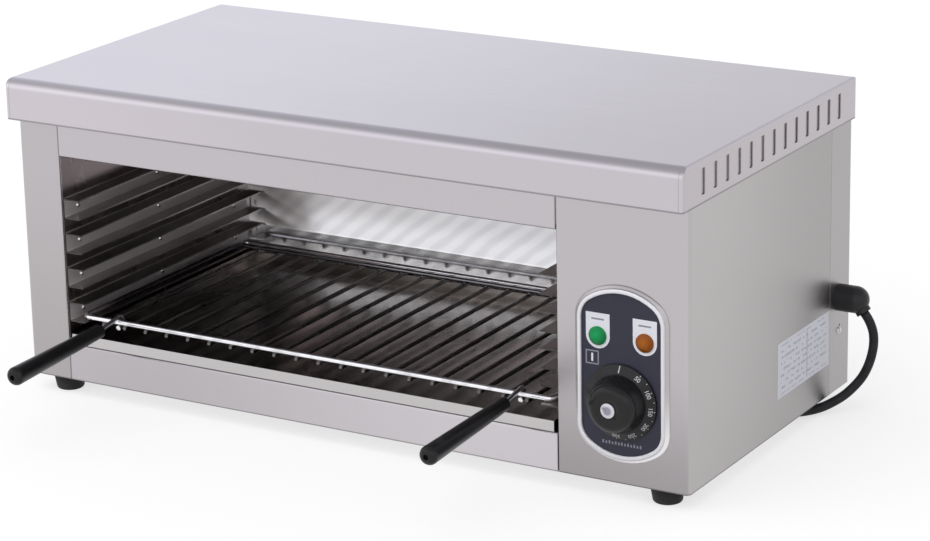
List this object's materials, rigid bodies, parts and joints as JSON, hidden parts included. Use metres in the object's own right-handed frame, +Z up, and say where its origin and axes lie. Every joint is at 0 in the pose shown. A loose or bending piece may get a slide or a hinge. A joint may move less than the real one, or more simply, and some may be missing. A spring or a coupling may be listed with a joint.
{
  "type": "countertop cheese melter",
  "caption": "Electric countertop cheese melter: a folded steel cabinet with a heated cavity, a wire rack with grips on runners, a drip tray and a side thermostat.",
  "frame": {"origin": "on the counter, at the middle of the footprint of the cabinet with its grips, without the cord", "axes": "+X to the right seen from the front, +Y to the back, +Z up"},
  "size_m": [0.6433, 0.5425, 0.2667],
  "materials": {
    "brushed_stainless": "brushed",
    "cavity_steel": "heat-darkened",
    "chromed_wire": "polished",
    "rivet_steel": "bright",
    "element_sheath": "oxidised tube",
    "ceramic_bush": "matt",
    "brass_parts": "plain",
    "brown_moulding": "moulded",
    "copper_tube": "drawn",
    "white_moulding": "moulded",
    "wire_insulation": "plain",
    "green_lens": "translucent",
    "amber_lens": "translucent",
    "fascia_frame": "satin",
    "navy_plate": "satin",
    "label_film": "printed film",
    "black_moulding": "moulded",
    "cord_jacket": "extruded",
    "plated_steel": "plated",
    "foot_rubber": "moulded"
  },
  "bodies": {
    "cabinet": {"top_cover": "brushed_stainless", "left_side_panel": "brushed_stainless", "control_housing": "brushed_stainless", "upper_front_rail": "brushed_stainless", "lower_front_panel": "brushed_stainless", "rear_panel": "brushed_stainless", "base_plate": "brushed_stainless", "cavity_left_wall": "cavity_steel", "cavity_right_wall": "cavity_steel", "cavity_rear_wall": "cavity_steel", "cavity_ceiling": "cavity_steel", "cavity_floor": "cavity_steel", "left_runner_1": "cavity_steel", "left_runner_2": "cavity_steel", "left_runner_3": "cavity_steel", "left_runner_4": "cavity_steel", "right_runner_1": "cavity_steel", "right_runner_2": "cavity_steel", "right_runner_3": "cavity_steel", "right_runner_4": "cavity_steel", "runner_rivets": "rivet_steel", "front_heating_element": "element_sheath", "rear_heating_element": "element_sheath", "element_insulators": "ceramic_bush", "element_terminals": "plated_steel", "element_brackets": "cavity_steel", "thermostat_body": "brown_moulding", "sensing_bulb": "copper_tube", "bulb_clips": "plated_steel", "terminal_block": "white_moulding", "earth_stud": "brass_parts", "internal_wires": "wire_insulation", "green_lamp_lens": "green_lens", "amber_lamp_lens": "amber_lens", "lamp_bodies": "white_moulding", "fascia_bezel": "fascia_frame", "fascia_plate": "navy_plate", "rating_label": "label_film", "cord_gland": "black_moulding", "gland_locknut": "black_moulding", "power_cord": "cord_jacket", "cord_coil": "cord_jacket", "plug_body": "cord_jacket", "plug_pins": "brass_parts", "screws": "plated_steel", "front_left_foot": "foot_rubber", "front_right_foot": "foot_rubber", "rear_left_foot": "foot_rubber", "rear_right_foot": "foot_rubber", "foot_screws": "plated_steel"},
    "rack": {"rack_frame": "chromed_wire", "rack_rods": "chromed_wire", "handle_rods": "chromed_wire", "left_grip": "black_moulding", "right_grip": "black_moulding"},
    "tray": {"drip_tray": "brushed_stainless"},
    "knob": {"control_knob": "black_moulding", "dial_skirt": "black_moulding", "knob_cap": "rivet_steel", "thermostat_shaft": "plated_steel"}
  },
  "joints": [
    {"name": "rack_slide", "type": "slide", "parent": "cabinet", "child": "rack", "axis": [0, -1, 0], "range_m": [0, 0.25]},
    {"name": "tray_slide", "type": "slide", "parent": "cabinet", "child": "tray", "axis": [0, -1, 0], "range_m": [0, 0.26]},
    {"name": "knob_turn", "type": "hinge", "parent": "cabinet", "child": "knob", "pos_m": [0.2487, -0.08304, 0.079], "axis": [0, 1, 0], "range_deg": [0, 280]}
  ]
}
